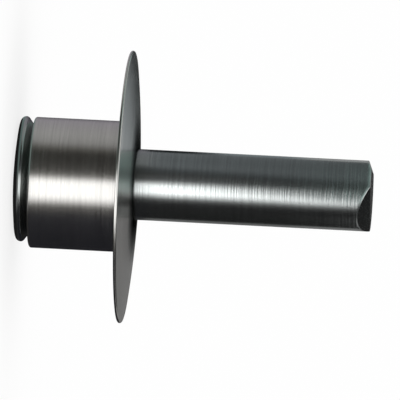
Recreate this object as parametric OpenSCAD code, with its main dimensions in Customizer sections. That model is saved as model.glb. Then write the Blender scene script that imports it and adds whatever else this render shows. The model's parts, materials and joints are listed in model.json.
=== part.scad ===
// A blind rivet: a tubular sleeve with a shallow domed flange, carried on a headed mandrel that
// breaks at a neck inside the sleeve. It stands on the flat of the mandrel's head, with the table
// at z = 0, the sleeve's axis on the Z axis and the tail of the mandrel upwards.

/* [Sleeve] */
// Outer diameter of the sleeve
sleeve_d = 4.8; // [4.2:0.1:6.4]
// Length of the sleeve, from the underside of the flange to its free end
sleeve_len = 3.4; // [2.4:0.1:16]
// Radius on the edge of the sleeve's free end
sleeve_edge_r = 0.08; // [0.02:0.02:0.2]
// Room between the mandrel and the wall of the bore, all round
bore_clearance = 0.13; // [0.05:0.01:0.2]

/* [Flange] */
// Diameter of the flange
flange_d = 10; // [8:0.05:16]
// Thickness of the flange at its rim, which is fully rounded
rim_t = 0.12; // [0.08:0.02:0.4]
// Height of the flange's dome above its underside, at the mouth of the bore
dome_h = 0.42; // [0.4:0.02:1.4]
// Radius of the funnel edge at the mouth of the bore
mouth_r = 0.06; // [0.02:0.02:0.12]
// Fillet in the corner between the sleeve and the flange
corner_r = 0.06; // [0.02:0.02:0.2]

/* [Mandrel] */
// Diameter of the shank
shank_d = 2.6; // [2:0.05:3]
// Length of the shank past the underside of the flange, to the tail
shank_len = 9.05; // [6:0.05:40]
// How far the mandrel lies to one side, as a share of its room in the bore
lean_share = 0.85; // [0:0.05:0.9]
// Direction of that lean, in degrees from +X towards +Y
lean_side = 180; // [0:1:359]
// Distance of the break neck from the free end of the sleeve
neck_from_end = 1; // [0.6:0.1:2]
// Diameter left at the bottom of the break neck
neck_d = 1.7; // [1:0.1:1.9]
// Width of the break neck at the surface of the shank
neck_w = 0.6; // [0.2:0.1:1]

/* [Mandrel head] */
// Diameter of the head at its rim
head_d = 4.6; // [4:0.05:6]
// Diameter of the flat seat that rests on the end of the sleeve
head_seat_d = 3.9; // [3.5:0.1:3.9]
// Distance from that seat to the rim of the head
head_back = 0.33; // [0.3:0.01:1]
// Radius of the edge between the back and the rim
head_back_r = 0.08; // [0.02:0.01:0.15]
// Radius of the edge between the rim and the crown
head_edge_r = 0.18; // [0.1:0.02:0.4]
// Rise of the crown inside that edge
crown_rise = 0.12; // [0.04:0.02:0.6]
// Diameter of the flat on top of the crown, on which the rivet stands
crown_flat_d = 1.9; // [1:0.1:3]

/* [Sheared tail] */
// How far back the main shear cut reaches along the shank
shear_depth = 0.42; // [0.2:0.02:1.2]
// Slope of the main shear cut, in degrees from square
shear_slope = 37; // [20:1:60]
// Side of the main shear cut, in degrees from +X towards +Y
shear_side = 310; // [0:1:359]
// How far back the second, smaller cut reaches along the shank
nip_depth = 0.15; // [0.1:0.01:1]
// Slope of the second cut, in degrees from square
nip_slope = 20; // [10:1:30]
// Side of the second cut, in degrees from +X towards +Y
nip_side = 175; // [0:1:359]
// Radius on the rim of the tail
tail_edge_r = 0.05; // [0.02:0.01:0.1]

/* [Hidden] */
$fn = 96;
arc_steps = 10;
dome_steps = 24;

sleeve_r = sleeve_d / 2;
shank_r = shank_d / 2;
bore_r = shank_r + bore_clearance;
flange_r = flange_d / 2;
head_r = head_d / 2;
lean = lean_share * bore_clearance;

// The sections are drawn with the underside of the flange at z = 0, which stands this far up.
seat_z = sleeve_len + head_back + head_edge_r + crown_rise;

// The dome is a sphere about the axis, through the top of the rim and the mouth of the bore.
rim_r = rim_t / 2;
rim_ring_r = flange_r - rim_r;
mouth_ring_r = bore_r + mouth_r;
dome_z = (pow(mouth_ring_r, 2) + pow(dome_h, 2) - pow(rim_ring_r, 2) - pow(rim_t, 2))
    / (2 * (dome_h - rim_t));
dome_r = norm([mouth_ring_r, dome_h - dome_z]);
dome_from = atan2(rim_t - dome_z, rim_ring_r);
dome_to = atan2(dome_h - dome_z, mouth_ring_r);

// The crown of the head is a sphere about the axis, from the edge of its flat to the rounded rim.
head_rim_z = -sleeve_len - head_back;
crown_foot_r = head_r - head_edge_r;
crown_foot_z = head_rim_z - head_edge_r;
crown_flat_r = crown_flat_d / 2;
crown_z = (pow(crown_foot_r, 2) - pow(crown_flat_r, 2) - pow(crown_rise, 2)) / (2 * crown_rise)
    + crown_foot_z;
crown_r = norm([crown_foot_r, crown_z - crown_foot_z]);
crown_from = asin(crown_flat_r / crown_r) - 90;
crown_to = asin(crown_foot_r / crown_r) - 90;

// The back of the head is a cone from the edge of its seat, and touches the circle of its edge.
head_seat_r = head_seat_d / 2;
back_ring_r = head_r - head_back_r;
back_to = atan2(head_back, head_seat_r - back_ring_r)
    - acos(head_back_r / norm([head_seat_r - back_ring_r, head_back]));

neck_z = -sleeve_len + neck_from_end;
tail_ring_z = shank_len - tail_edge_r;

// Points of an arc in the section, which is drawn as [distance from the axis, height]
function arc(centre, r, from, to, steps) = [
    for (i = [0:steps]) centre + r * [cos(from + (to - from) * i / steps),
        sin(from + (to - from) * i / steps)]
];

// Half section of the sleeve and its flange, anticlockwise from the inside of the free end
module body_section() {
    polygon(concat(
        [[bore_r, -sleeve_len]],
        arc([sleeve_r - sleeve_edge_r, -sleeve_len + sleeve_edge_r], sleeve_edge_r, -90, 0, arc_steps),
        arc([sleeve_r + corner_r, -corner_r], corner_r, 180, 90, arc_steps),
        arc([rim_ring_r, rim_r], rim_r, -90, dome_from, arc_steps),
        arc([0, dome_z], dome_r, dome_from, dome_to, dome_steps),
        arc([mouth_ring_r, dome_h - mouth_r], mouth_r, dome_to, 180, arc_steps)
    ));
}

// Half section of the mandrel, anticlockwise from the middle of the flat on its crown
module mandrel_section() {
    polygon(concat(
        [[0, crown_foot_z - crown_rise]],
        arc([0, crown_z], crown_r, crown_from, crown_to, dome_steps),
        arc([crown_foot_r, head_rim_z], head_edge_r, -90, 0, arc_steps),
        arc([back_ring_r, head_rim_z], head_back_r, back_to / arc_steps, back_to, arc_steps - 1),
        [
            [head_seat_r, -sleeve_len],
            [shank_r, -sleeve_len],
            [shank_r, neck_z - neck_w / 2],
            [neck_d / 2, neck_z],
            [shank_r, neck_z + neck_w / 2],
        ],
        arc([shank_r - tail_edge_r, tail_ring_z], tail_edge_r, 0, 90, arc_steps),
        [[0, shank_len]]
    ));
}

// A block that takes all beyond a sloping plane off the tail
module tail_cut(depth, slope, side) {
    block = 3 * shank_d;
    rotate([0, 0, side]) translate([shank_r, 0, shank_len - depth]) rotate([0, slope, 0])
        translate([-block, -block / 2, 0]) cube([2 * block, block, block]);
}

module rivet_body() {
    color("lightslategray") translate([0, 0, seat_z]) rotate_extrude() body_section();
}

module mandrel() {
    color("slategray")
        translate([lean * cos(lean_side), lean * sin(lean_side), seat_z]) difference() {
            rotate_extrude() mandrel_section();
            tail_cut(shear_depth, shear_slope, shear_side);
            tail_cut(nip_depth, nip_slope, nip_side);
        }
}

rivet_body();
mandrel();
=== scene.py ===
"""Looks of a blind rivet that stands on its head on a pale table: finely turned meshes, their metals,
light and camera."""

import json
import math

import bmesh
import bpy
from mathutils import Matrix, Vector


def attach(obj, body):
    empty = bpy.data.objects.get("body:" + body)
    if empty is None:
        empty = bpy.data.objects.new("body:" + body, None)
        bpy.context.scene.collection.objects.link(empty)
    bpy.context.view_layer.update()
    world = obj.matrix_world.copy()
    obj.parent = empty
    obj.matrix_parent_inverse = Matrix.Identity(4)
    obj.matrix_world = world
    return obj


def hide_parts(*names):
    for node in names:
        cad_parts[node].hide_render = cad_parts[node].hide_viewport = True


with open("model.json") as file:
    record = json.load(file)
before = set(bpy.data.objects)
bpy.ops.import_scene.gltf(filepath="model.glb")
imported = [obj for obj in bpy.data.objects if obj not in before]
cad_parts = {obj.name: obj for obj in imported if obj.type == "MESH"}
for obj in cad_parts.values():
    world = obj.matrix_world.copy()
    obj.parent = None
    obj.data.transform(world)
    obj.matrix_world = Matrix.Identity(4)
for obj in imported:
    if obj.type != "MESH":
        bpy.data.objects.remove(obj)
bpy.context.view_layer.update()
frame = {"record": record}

# Sizes, in millimetres and in the same terms as the part's own source. Only HEAD_BACK_R and
# TAIL_EDGE_R differ from it, by less than 0.1 mm, for the light that these two edges catch.
MM = 0.001
SLEEVE_R = 2.4
SLEEVE_LEN = 3.4
SLEEVE_EDGE_R = 0.08
BORE_R = 1.43
FLANGE_R = 5.0
RIM_T = 0.12
DOME_H = 0.42
MOUTH_R = 0.06
CORNER_R = 0.06
SHANK_R = 1.3
SHANK_LEN = 9.05
NECK_FROM_END = 1.0
NECK_R = 0.85
NECK_W = 0.6
HEAD_R = 2.3
HEAD_SEAT_R = 1.95
HEAD_BACK = 0.33
HEAD_BACK_R = 0.14
HEAD_EDGE_R = 0.18
CROWN_RISE = 0.12
CROWN_FLAT_R = 0.95
SHEAR = {"depth": 0.42, "slope": 37, "side": 310}
NIP = {"depth": 0.15, "slope": 20, "side": 175}
TAIL_EDGE_R = 0.025

# Painted shade round the mouth of the bore: the share of the steel's colour that is left at the mouth, and
# the radii between which it fades
MOUTH_SHADE = 0.14
MOUTH_SHADE_RING = (1.45, 3)

# Fineness of the meshes
SEGMENTS = 320
STEP = 0.1
ARC_STEPS = 10
DOME_STEPS = 40
CROWN_STEPS = 24
SHARP_DEG = 28

# The tail's mesh: the length of wall that runs up to its sloping end, and the rings of wall, edge and end
TAIL_WALL = 1
WALL_RINGS = 10
EDGE_RINGS = 4
DISC_RINGS = 30

# The steel's fine lines: their scale across the axis, the tints and roughness they give, their depth
LINES_ACROSS = 300
LINE_DETAIL = 4
LINE_TINTS = ((0.3, 0.9), (0.7, 1.08))
LINE_ROUGHNESS = (0.8, 1.2)
LINE_DEPTH = 0.02

# Where the rivet stands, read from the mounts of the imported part: both pieces are drawn from the
# underside of the flange upwards
mounts = {m["name"]: Vector(m["pos_m"]) for m in frame["record"]["mounts"]}
seat_z = mounts["flange_underside"].z
sleeve_origin = Vector((mounts["sleeve_outside"].x, mounts["sleeve_outside"].y, seat_z))
mandrel_origin = Vector((mounts["mandrel_grip"].x, mounts["mandrel_grip"].y, seat_z))


def arc(centre, radius, start, end, steps=ARC_STEPS):
    """Points of an arc in the section, as (distance from the axis, height)."""
    angles = [math.radians(start + (end - start) * i / steps) for i in range(steps + 1)]
    return [(centre[0] + radius * math.cos(a), centre[1] + radius * math.sin(a)) for a in angles]


def refined(points, step=STEP):
    """The same outline with no stretch longer than step."""
    fine = [points[0]]
    for start, end in zip(points, points[1:]):
        pieces = max(1, math.ceil(math.dist(start, end) / step))
        for i in range(1, pieces + 1):
            share = i / pieces
            fine.append(tuple(a + (b - a) * share for a, b in zip(start, end)))
    return fine


def body_section():
    """Half section of the sleeve and flange, closed, from the inside of the free end."""
    rim_r = RIM_T / 2
    ring_r = FLANGE_R - rim_r
    mouth_ring_r = BORE_R + MOUTH_R
    dome_z = (mouth_ring_r**2 + DOME_H**2 - ring_r**2 - RIM_T**2) / (2 * (DOME_H - RIM_T))
    dome_r = math.hypot(mouth_ring_r, DOME_H - dome_z)
    dome_from = math.degrees(math.atan2(RIM_T - dome_z, ring_r))
    dome_to = math.degrees(math.atan2(DOME_H - dome_z, mouth_ring_r))
    points = [(BORE_R, -SLEEVE_LEN)]
    points += arc((SLEEVE_R - SLEEVE_EDGE_R, SLEEVE_EDGE_R - SLEEVE_LEN), SLEEVE_EDGE_R, -90, 0)
    points += arc((SLEEVE_R + CORNER_R, -CORNER_R), CORNER_R, 180, 90)
    points += arc((ring_r, rim_r), rim_r, -90, dome_from)
    points += arc((0, dome_z), dome_r, dome_from, dome_to, DOME_STEPS)
    points += arc((mouth_ring_r, DOME_H - MOUTH_R), MOUTH_R, dome_to, 180)
    return refined(points + [(BORE_R, -SLEEVE_LEN)])


def mandrel_section():
    """Half section of the mandrel from the flat on its crown to the start of the tail."""
    foot_r = HEAD_R - HEAD_EDGE_R
    rim_z = -SLEEVE_LEN - HEAD_BACK
    foot_z = rim_z - HEAD_EDGE_R
    crown_z = (foot_r**2 - CROWN_FLAT_R**2 - CROWN_RISE**2) / (2 * CROWN_RISE) + foot_z
    crown_r = math.hypot(foot_r, crown_z - foot_z)
    crown_from = math.degrees(math.asin(CROWN_FLAT_R / crown_r)) - 90
    crown_to = math.degrees(math.asin(foot_r / crown_r)) - 90
    neck_z = NECK_FROM_END - SLEEVE_LEN
    points = [(0, foot_z - CROWN_RISE)]
    points += arc((0, crown_z), crown_r, crown_from, crown_to, CROWN_STEPS)
    points += arc((foot_r, rim_z), HEAD_EDGE_R, -90, 0)
    ring_r = HEAD_R - HEAD_BACK_R
    to_seat = (HEAD_SEAT_R - ring_r, HEAD_BACK)
    to_tangent = math.acos(HEAD_BACK_R / math.hypot(*to_seat))
    back_to = math.degrees(math.atan2(to_seat[1], to_seat[0]) - to_tangent)
    points += arc((ring_r, rim_z), HEAD_BACK_R, back_to / ARC_STEPS, back_to, ARC_STEPS - 1)
    points += [(HEAD_SEAT_R, -SLEEVE_LEN), (SHANK_R, -SLEEVE_LEN), (SHANK_R, neck_z - NECK_W / 2)]
    points += [(NECK_R, neck_z), (SHANK_R, neck_z + NECK_W / 2), (SHANK_R, SHANK_LEN - TAIL_WALL)]
    return refined(points)


def cut_height(cut, x, y):
    """Height of a sloping cut of the tail over the point (x, y)."""
    turn = math.radians(cut["side"])
    inward = SHANK_R - (x * math.cos(turn) + y * math.sin(turn))
    return SHANK_LEN - cut["depth"] + inward * math.tan(math.radians(cut["slope"]))


def tail_height(x, y):
    """Height of the sheared end of the tail over the point (x, y)."""
    return min(SHANK_LEN, cut_height(SHEAR, x, y), cut_height(NIP, x, y))


def ring_of(bm, place):
    """A ring of vertices, with place(angle) giving each in millimetres."""
    angles = [2 * math.pi * i / SEGMENTS for i in range(SEGMENTS)]
    return [bm.verts.new(Vector(place(a)) * MM) for a in angles]


def join_rings(bm, first, second):
    """The band of faces between two rings."""
    for i in range(SEGMENTS):
        j = (i + 1) % SEGMENTS
        bm.faces.new((first[i], first[j], second[j], second[i]))


def cap_ring(bm, ring, centre):
    """A fan of faces from a ring to a point in the middle."""
    middle = bm.verts.new(Vector(centre) * MM)
    for i in range(SEGMENTS):
        bm.faces.new((ring[i], ring[(i + 1) % SEGMENTS], middle))


def turned(bm, section):
    """Rings of the section turned about the axis, joined in order."""
    rings = []
    for r, z in section:
        rings.append(ring_of(bm, lambda a, r=r, z=z: (r * math.cos(a), r * math.sin(a), z)))
    for first, second in zip(rings, rings[1:]):
        join_rings(bm, first, second)
    return rings


def piece(name, bm, origin, node):
    """The mesh as an object that stands for a CAD node."""
    bmesh.ops.recalc_face_normals(bm, faces=bm.faces)
    mesh = bpy.data.meshes.new(name)
    bm.to_mesh(mesh)
    bm.free()
    mesh.shade_smooth()
    mesh.set_sharp_from_angle(angle=math.radians(SHARP_DEG))
    obj = bpy.data.objects.new(name, mesh)
    bpy.context.scene.collection.objects.link(obj)
    obj.location = origin
    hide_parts(node)
    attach(obj, "root")
    return obj


def make_body():
    """The sleeve with its flange."""
    bm = bmesh.new()
    rings = turned(bm, body_section()[:-1])
    join_rings(bm, rings[-1], rings[0])
    return piece("sleeve_and_flange", bm, sleeve_origin, "rivet_body")


def make_mandrel():
    """The mandrel, with the sheared end of its tail as a fine disc of its own."""
    bm = bmesh.new()
    section = mandrel_section()
    rings = turned(bm, section[1:])
    cap_ring(bm, rings[0], (0, 0, section[0][1]))
    wall_from = section[-1][1]

    def wall(share):
        def place(a):
            x, y = SHANK_R * math.cos(a), SHANK_R * math.sin(a)
            top = tail_height(x, y) - TAIL_EDGE_R
            return x, y, wall_from + (top - wall_from) * share
        return place

    def cap(r, drop):
        def place(a):
            x, y = r * math.cos(a), r * math.sin(a)
            return x, y, tail_height(x, y) - drop
        return place

    last = rings[-1]
    for i in range(1, WALL_RINGS + 1):
        ring = ring_of(bm, wall(i / WALL_RINGS))
        join_rings(bm, last, ring)
        last = ring
    for i in range(1, EDGE_RINGS + 1):
        turn = math.radians(90 * i / EDGE_RINGS)
        inset = TAIL_EDGE_R * (1 - math.cos(turn))
        ring = ring_of(bm, cap(SHANK_R - inset, TAIL_EDGE_R * (1 - math.sin(turn))))
        join_rings(bm, last, ring)
        last = ring
    disc_r = SHANK_R - TAIL_EDGE_R
    for i in range(1, DISC_RINGS):
        ring = ring_of(bm, cap(disc_r * (1 - i / DISC_RINGS), 0))
        join_rings(bm, last, ring)
        last = ring
    cap_ring(bm, last, (0, 0, tail_height(0, 0)))
    return piece("headed_mandrel", bm, mandrel_origin, "mandrel")


def new_material(name):
    """An empty material with its output, as (material, nodes, links, Principled shader)."""
    material = bpy.data.materials.new(name)
    material.use_nodes = True
    nodes, links = material.node_tree.nodes, material.node_tree.links
    shader = nodes["Principled BSDF"]
    return material, nodes, links, shader


def fine_lines(nodes, links, coords, line_scale):
    """Noise drawn out round the axis, with line_scale steps to the millimetre along it."""
    stretch = nodes.new("ShaderNodeMapping")
    stretch.inputs["Scale"].default_value = (LINES_ACROSS, LINES_ACROSS, line_scale / MM)
    links.new(coords.outputs["Object"], stretch.inputs["Vector"])
    lines = nodes.new("ShaderNodeTexNoise")
    lines.inputs["Scale"].default_value = 1
    lines.inputs["Detail"].default_value = LINE_DETAIL
    links.new(stretch.outputs["Vector"], lines.inputs["Vector"])
    return lines.outputs["Fac"]


def painted_mouth_shade(nodes, links, coords):
    """Share of the colour left by the painted shade round the mouth of the bore, which is all of it under
    the flange's face.
    """
    parts = nodes.new("ShaderNodeSeparateXYZ")
    links.new(coords.outputs["Object"], parts.inputs["Vector"])
    level = nodes.new("ShaderNodeCombineXYZ")
    links.new(parts.outputs["X"], level.inputs["X"])
    links.new(parts.outputs["Y"], level.inputs["Y"])
    radius = nodes.new("ShaderNodeVectorMath")
    radius.operation = "LENGTH"
    links.new(level.outputs["Vector"], radius.inputs[0])
    painted_shade_fade = nodes.new("ShaderNodeMapRange")
    painted_shade_fade.interpolation_type = "SMOOTHSTEP"
    painted_shade_fade.inputs["From Min"].default_value = MOUTH_SHADE_RING[0] * MM
    painted_shade_fade.inputs["From Max"].default_value = MOUTH_SHADE_RING[1] * MM
    painted_shade_fade.inputs["To Min"].default_value = MOUTH_SHADE
    links.new(radius.outputs["Value"], painted_shade_fade.inputs["Value"])
    under = nodes.new("ShaderNodeMath")
    under.operation = "LESS_THAN"
    under.inputs[1].default_value = RIM_T / 2 * MM
    links.new(parts.outputs["Z"], under.inputs[0])
    share = nodes.new("ShaderNodeMath")
    share.operation = "MAXIMUM"
    links.new(painted_shade_fade.outputs["Result"], share.inputs[0])
    links.new(under.outputs["Value"], share.inputs[1])
    return share.outputs["Value"]


def turned_steel(name, colour, roughness, line_scale, bump, mouth=False):
    """Steel with fine lines round the axis, with painted shade round the mouth of the bore where it has
    one.
    """
    material, nodes, links, shader = new_material(name)
    shader.inputs["Metallic"].default_value = 1
    coords = nodes.new("ShaderNodeTexCoord")
    lines = fine_lines(nodes, links, coords, line_scale)
    tint = nodes.new("ShaderNodeValToRGB")
    for stop, (position, share) in zip(tint.color_ramp.elements, LINE_TINTS):
        stop.position = position
        stop.color = (*[c * share for c in colour], 1)
    links.new(lines, tint.inputs["Fac"])
    tinted = tint.outputs["Color"]
    # Painted shade round the mouth of the bore, in the colour and in the tint of the edge reflections
    if mouth:
        share = painted_mouth_shade(nodes, links, coords)
        shaded = nodes.new("ShaderNodeVectorMath")
        shaded.operation = "SCALE"
        links.new(tinted, shaded.inputs[0])
        links.new(share, shaded.inputs["Scale"])
        links.new(share, shader.inputs["Specular Tint"])
        tinted = shaded.outputs["Vector"]
    links.new(tinted, shader.inputs["Base Color"])
    rough = nodes.new("ShaderNodeMapRange")
    rough.inputs["To Min"].default_value = roughness * LINE_ROUGHNESS[0]
    rough.inputs["To Max"].default_value = roughness * LINE_ROUGHNESS[1]
    links.new(lines, rough.inputs["Value"])
    links.new(rough.outputs["Result"], shader.inputs["Roughness"])
    relief = nodes.new("ShaderNodeBump")
    relief.inputs["Strength"].default_value = bump
    relief.inputs["Distance"].default_value = LINE_DEPTH * MM
    links.new(lines, relief.inputs["Height"])
    links.new(relief.outputs["Normal"], shader.inputs["Normal"])
    return material


def sleeve_steel():
    """The brushed steel of the sleeve and flange, with painted shade round the mouth of the bore."""
    colour = (0.56, 0.55, 0.53)
    return turned_steel("sleeve_steel", colour, roughness=0.23, line_scale=14, bump=0.3, mouth=True)


def mandrel_steel():
    """The darker, plated steel of the mandrel."""
    colour = (0.38, 0.4, 0.395)
    return turned_steel("mandrel_steel", colour, roughness=0.2, line_scale=18, bump=0.15)


# The camera looks along +Y, a little down on the tail's side, and lies on its side, so that the
# tail points to the right and -X is up in the picture
TURN_DEG = 3.7
SLOPE_DEG = 2.9
SENSOR = 36
LENS = 800
FRAME_PX = 400
PX_PER_MM = 27.29
FLANGE_PX = (126.5, 186.9)

axis = Vector((0, 0, 1))
around = Vector((0, -1, 0))
image_up = Vector((-1, 0, 0))


def make_camera():
    """The long lens that frames the rivet as the photograph does."""
    turn = math.radians(TURN_DEG)
    towards = (around * math.cos(turn) + axis * math.sin(turn)).normalized()
    along = (axis - towards * axis.dot(towards)).normalized()
    upright = towards.cross(along)
    slope = math.radians(SLOPE_DEG)
    right = along * math.cos(slope) + upright * math.sin(slope)
    up = upright * math.cos(slope) - along * math.sin(slope)
    flange = sleeve_origin + axis * RIM_T / 2 * MM
    middle = FRAME_PX / 2
    off_right = (middle - FLANGE_PX[0]) / PX_PER_MM * MM
    off_up = (FLANGE_PX[1] - middle) / PX_PER_MM * MM
    target = flange + right * off_right + up * off_up
    width = FRAME_PX / PX_PER_MM * MM
    distance = LENS / SENSOR * width
    data = bpy.data.cameras.new("camera")
    data.sensor_width = SENSOR
    data.lens = LENS
    data.clip_start, data.clip_end = distance / 10, distance * 10
    camera = bpy.data.objects.new("camera", data)
    bpy.context.scene.collection.objects.link(camera)
    facing = Matrix((right, up, towards)).transposed()
    camera.matrix_world = Matrix.Translation(target + towards * distance) @ facing.to_4x4()
    bpy.context.scene.camera = camera


# The stage: a table, a white surround, a lamp, and sheets of light that the metal mirrors. An angle is
# counted round the rivet from the camera, upwards in the picture.
TABLE_HALF = 1500
TABLE_COLOUR = (0.95, 0.95, 0.95, 1)
TABLE_ROUGHNESS = 0.9
FLOOR_GLOW = 0.8
WORLD_LEVEL = 0.85
LAMP_LEVEL = 0.2
LAMP_SPREAD_DEG = 50
LAMP_FROM = (0.4, 0.5, 1)

# Radii and heights of the sheets, and the angles that they span
NEAR, FAR = 9, 40
CENTRE = 0.01
FOOT_FROM, FOOT_TO = 2.5, 5
SEAM = 0.1
FLOOR_Z = 0.01
LOW_TOP = 4.2
SHANK_TOP = 60
TOP = 150
ALL_ROUND = (-180, 180)
BEHIND = (130, 230)
BELOW = (-180, -60)
ANGLE_STEP = 2

# Tints of the light
NEUTRAL = (1, 1, 1)
WARM = (1.05, 1, 0.9)
COOL = (0.9, 1, 1.05)
TEAL = (0.8, 1.05, 1)
VIOLET = (1.02, 0.97, 1.08)
SLATE = (0.94, 1, 1.05)
DUSK = (0.8, 0.82, 1)


def direction(degrees):
    """The level direction that many degrees round from the camera, upwards in the picture."""
    turn = math.radians(degrees)
    return around * math.cos(turn) + image_up * math.sin(turn)


def level_at(stops, degrees):
    """The light at an angle, between the stops (angle, level, tint) on its two sides."""
    for (a, low, low_tint), (b, high, high_tint) in zip(stops, stops[1:]):
        if degrees <= b:
            share = (degrees - a) / (b - a)
            return [low * p + (high * q - low * p) * share for p, q in zip(low_tint, high_tint)]
    return [stops[-1][1] * part for part in stops[-1][2]]


def scaled(stops, share):
    """The same stops at a share of their level."""
    return [(degrees, level * share, tint) for degrees, level, tint in stops]


def shifted(stops, degrees):
    """The same stops round the rivet, turned by an angle."""
    return [(angle + degrees, level, tint) for angle, level, tint in stops]


def staged(name, corners, faces, material):
    """A mesh of the stage, with its corners in millimetres."""
    mesh = bpy.data.meshes.new(name)
    mesh.from_pydata([Vector(c) * MM for c in corners], [], faces)
    mesh.materials.append(material)
    obj = bpy.data.objects.new(name, mesh)
    bpy.context.scene.collection.objects.link(obj)
    return obj


def sheet(name, rows, span, material):
    """A sheet of light that only the metal's reflections see, from rows (radius, height, stops)."""
    angles = list(range(span[0], span[1] + 1, ANGLE_STEP))
    ways = [direction(a) for a in angles]
    corners = [(way.x * radius, way.y * radius, height)
               for radius, height, stops in rows for way in ways]
    levels = [level_at(stops, a) for radius, height, stops in rows for a in angles]
    count = len(angles)
    faces = [(i + k, i + 1 + k, i + 1 + count + k, i + count + k)
             for k in range(0, (len(rows) - 1) * count, count) for i in range(count - 1)]
    obj = staged(name, corners, faces, material)
    painted = obj.data.color_attributes.new("level", "FLOAT_COLOR", "POINT")
    for spot, level in zip(painted.data, levels):
        spot.color = (*level, 1)
    obj.visible_camera = False
    obj.visible_diffuse = False
    obj.visible_shadow = False


def glow():
    """A glow of the level painted on the sheet."""
    material, nodes, links, shader = new_material("glow")
    level = nodes.new("ShaderNodeAttribute")
    level.attribute_name = "level"
    light = nodes.new("ShaderNodeEmission")
    links.new(level.outputs["Color"], light.inputs["Color"])
    links.new(light.outputs["Emission"], nodes["Material Output"].inputs["Surface"])
    nodes.remove(shader)
    return material


def seen_rays(nodes, links):
    """1 for camera, glossy and transmission rays and 0 for the rest, as a node's output."""
    rays = nodes.new("ShaderNodeLightPath")
    total = rays.outputs["Is Camera Ray"]
    for other in ("Is Glossy Ray", "Is Transmission Ray"):
        add = nodes.new("ShaderNodeMath")
        add.operation = "ADD"
        add.use_clamp = True
        links.new(total, add.inputs[0])
        links.new(rays.outputs[other], add.inputs[1])
        total = add.outputs["Value"]
    return total


def make_floor():
    """The pale table, which glows a little where it is seen, so that its shadows stay light."""
    material, nodes, links, shader = new_material("table_white")
    shader.inputs["Base Color"].default_value = TABLE_COLOUR
    shader.inputs["Roughness"].default_value = TABLE_ROUGHNESS
    shader.inputs["Specular IOR Level"].default_value = 0
    light = nodes.new("ShaderNodeEmission")
    light.inputs["Strength"].default_value = 1
    share = nodes.new("ShaderNodeMath")
    share.operation = "MULTIPLY"
    share.inputs[1].default_value = FLOOR_GLOW
    links.new(seen_rays(nodes, links), share.inputs[0])
    mix = nodes.new("ShaderNodeMixShader")
    links.new(share.outputs["Value"], mix.inputs["Fac"])
    links.new(shader.outputs["BSDF"], mix.inputs[1])
    links.new(light.outputs["Emission"], mix.inputs[2])
    links.new(mix.outputs["Shader"], nodes["Material Output"].inputs["Surface"])
    corners = [(x * TABLE_HALF, y * TABLE_HALF, 0) for x, y in ((-1, -1), (1, -1), (1, 1), (-1, 1))]
    staged("table", corners, [(0, 1, 2, 3)], material)


def make_world():
    """A white surround, at full strength where it is seen."""
    world = bpy.data.worlds.new("world")
    bpy.context.scene.world = world
    world.use_nodes = True
    world.cycles.sampling_method = "NONE"
    nodes, links = world.node_tree.nodes, world.node_tree.links
    back = nodes["Background"]
    back.inputs["Color"].default_value = (1, 1, 1, 1)
    level = nodes.new("ShaderNodeMapRange")
    level.inputs["To Min"].default_value = WORLD_LEVEL
    level.inputs["To Max"].default_value = 1
    links.new(seen_rays(nodes, links), level.inputs["Value"])
    links.new(level.outputs["Result"], back.inputs["Strength"])


def make_lamp():
    """One broad soft lamp from above, behind and to one side."""
    data = bpy.data.lights.new("lamp", "SUN")
    data.energy = LAMP_LEVEL * math.pi
    data.angle = math.radians(LAMP_SPREAD_DEG)
    lamp = bpy.data.objects.new("lamp", data)
    bpy.context.scene.collection.objects.link(lamp)
    lamp.rotation_euler = Vector(LAMP_FROM).to_track_quat("Z", "Y").to_euler()
    lamp.visible_glossy = False


# Stops of light, as (angle, level, tint). What the sleeve, the head and the flange's rim mirror:
LOW = [
    (-180, 0.02, DUSK), (-50, 0.03, DUSK), (-34, 0.09, WARM), (-20, 2, NEUTRAL), (3, 2, NEUTRAL),
    (11, 0.14, WARM), (20, 0.05, WARM), (48, 0.03, WARM), (56, 0.11, WARM), (68, 0.38, NEUTRAL),
    (85, 0.44, NEUTRAL), (130, 0.36, VIOLET), (150, 0.12, VIOLET), (164, 0.03, DUSK), (180, 0.02, DUSK),
]
# What the shank mirrors, at its root and at its tail
ROOT = [
    (-180, 0.02, NEUTRAL), (-60, 0.03, NEUTRAL), (-44, 0.15, NEUTRAL), (-30, 1.8, NEUTRAL),
    (-22, 3.2, NEUTRAL), (-2, 3.2, NEUTRAL), (6, 1.4, NEUTRAL), (16, 0.2, NEUTRAL), (36, 0.08, NEUTRAL),
    (50, 0.1, SLATE), (66, 0.22, SLATE), (90, 0.2, SLATE), (180, 0.24, SLATE),
]
TAIL = [
    (-180, 0.02, NEUTRAL), (-56, 0.03, NEUTRAL), (-43, 0.15, NEUTRAL), (-34, 1, NEUTRAL),
    (-28, 2.4, NEUTRAL), (-19, 2.4, NEUTRAL), (-12, 0.5, NEUTRAL), (-5, 0.06, NEUTRAL), (12, 0.02, NEUTRAL),
    (38, 0.05, SLATE), (56, 0.2, SLATE), (90, 0.18, SLATE), (180, 0.24, SLATE),
]
# What the shank's image in the flange mirrors, and the sleeve when seen from above
HIGH = [
    (-180, 0.6, NEUTRAL), (-86, 0.6, NEUTRAL), (-72, 0.14, NEUTRAL), (-38, 0.08, NEUTRAL),
    (-27, 0.4, TEAL), (-17, 1.1, TEAL), (3, 1.1, TEAL), (16, 0.7, TEAL), (30, 0.48, TEAL),
    (60, 0.6, TEAL), (180, 0.6, TEAL),
]
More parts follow.
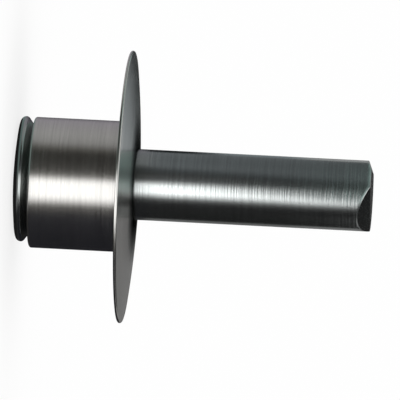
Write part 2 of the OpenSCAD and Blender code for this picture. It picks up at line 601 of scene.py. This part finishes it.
# What the back edge of the head mirrors, and the shank when seen from above
EDGE = [
    (-180, 0.03, NEUTRAL), (-54, 0.06, NEUTRAL), (-40, 0.8, NEUTRAL), (-24, 1.2, NEUTRAL),
    (-2, 1.2, NEUTRAL), (8, 0.4, NEUTRAL), (20, 0.1, COOL), (46, 0.1, COOL), (66, 0.5, TEAL),
    (100, 0.5, TEAL), (120, 0.5, NEUTRAL), (144, 0.5, NEUTRAL), (158, 0.06, NEUTRAL), (180, 0.03, NEUTRAL),
]
EDGE_TOP = [
    (-180, 0.03, NEUTRAL), (-54, 0.06, NEUTRAL), (-40, 0.9, NEUTRAL), (-30, 3, NEUTRAL),
    (-6, 3, NEUTRAL), (8, 0.9, NEUTRAL), (20, 0.2, COOL), (46, 0.1, COOL), (66, 0.42, TEAL),
    (100, 0.42, TEAL), (120, 0.5, NEUTRAL), (144, 0.5, NEUTRAL), (158, 0.06, NEUTRAL), (180, 0.03, NEUTRAL),
]
# What the front edge of the head mirrors, close to its foot
FOOT = [
    (-180, 0.04, NEUTRAL), (-40, 0.04, NEUTRAL), (-26, 0.3, NEUTRAL), (0, 0.3, NEUTRAL),
    (12, 0.25, TEAL), (75, 0.3, TEAL), (180, 0.25, COOL),
]
# What the flange's face mirrors, near its far edge and over the rest
FACE_EDGE = [(130, 0.02, COOL), (190, 0.02, COOL), (200, 0.21, NEUTRAL), (230, 0.21, NEUTRAL)]
FACE = [(130, 0.3, COOL), (174, 0.3, COOL), (186, 0.21, NEUTRAL), (230, 0.21, NEUTRAL)]
# What the shank mirrors when seen from behind, with little light where the tail's end mirrors it
FACE_BACK = [
    (130, 0.5, NEUTRAL), (144, 0.5, NEUTRAL), (156, 0.2, NEUTRAL), (166, 1.1, NEUTRAL),
    (178, 1.1, NEUTRAL), (190, 0.25, NEUTRAL), (230, 0.3, NEUTRAL),
]
FACE_TOP = [(130, 0.5, NEUTRAL), (145, 0.5, NEUTRAL), (157, 0.05, NEUTRAL), (230, 0.05, NEUTRAL)]
DARK = [(-180, 0.02, NEUTRAL), (180, 0.02, NEUTRAL)]

# Rows of the sheet on the table, as (radius, stops), and of the upright sheets, as (height, stops)
FLOOR_ROWS = [
    (CENTRE, DARK), (FOOT_FROM, DARK), (FOOT_FROM + SEAM, FOOT), (FOOT_TO, FOOT),
    (FOOT_TO + SEAM, LOW), (NEAR, LOW), (NEAR + SEAM, ROOT), (FAR, scaled(ROOT, 1.4)),
]
SHANK_ROWS = [
    (0, scaled(ROOT, 1.4)), (4, ROOT),
    (7.4, shifted(TAIL, 4)), (9.3, shifted(TAIL, -6)), (10.5, scaled(shifted(TAIL, -8), 0.8)),
    (12.7, scaled(HIGH, 0.05)), (13.8, scaled(HIGH, 0.5)), (15, HIGH), (17.4, HIGH),
    (19, scaled(HIGH, 0.8)), (22, EDGE), (30, EDGE), (38, EDGE_TOP), (SHANK_TOP, EDGE_TOP),
]
FACE_ROWS = [
    (LOW_TOP, FACE_EDGE), (5.9, FACE_EDGE), (7.3, FACE), (9.6, FACE),
    (10.6, FACE_BACK), (12.2, FACE_BACK), (13.4, FACE_TOP), (18, FACE_TOP),
]


def make_stage():
    """The pale table, the light, and the sheets of light round the rivet that its metal mirrors."""
    make_floor()
    make_world()
    make_lamp()
    light = glow()
    sheet("light_low", [(NEAR, 0, LOW), (NEAR, LOW_TOP, LOW)], ALL_ROUND, light)
    sheet("light_floor", [(radius, FLOOR_Z, stops) for radius, stops in FLOOR_ROWS], ALL_ROUND, light)
    sheet("light_shank", [(FAR, height, stops) for height, stops in SHANK_ROWS], ALL_ROUND, light)
    sheet("light_face", [(NEAR, height, stops) for height, stops in FACE_ROWS], BEHIND, light)
    sheet("light_top", [(FAR, SHANK_TOP, DARK), (FAR, TOP, DARK)], BELOW, light)


make_camera()
body = make_body()
mandrel = make_mandrel()
body.data.materials.append(sleeve_steel())
mandrel.data.materials.append(mandrel_steel())
make_stage()
bpy.context.scene.view_settings.view_transform = "Standard"
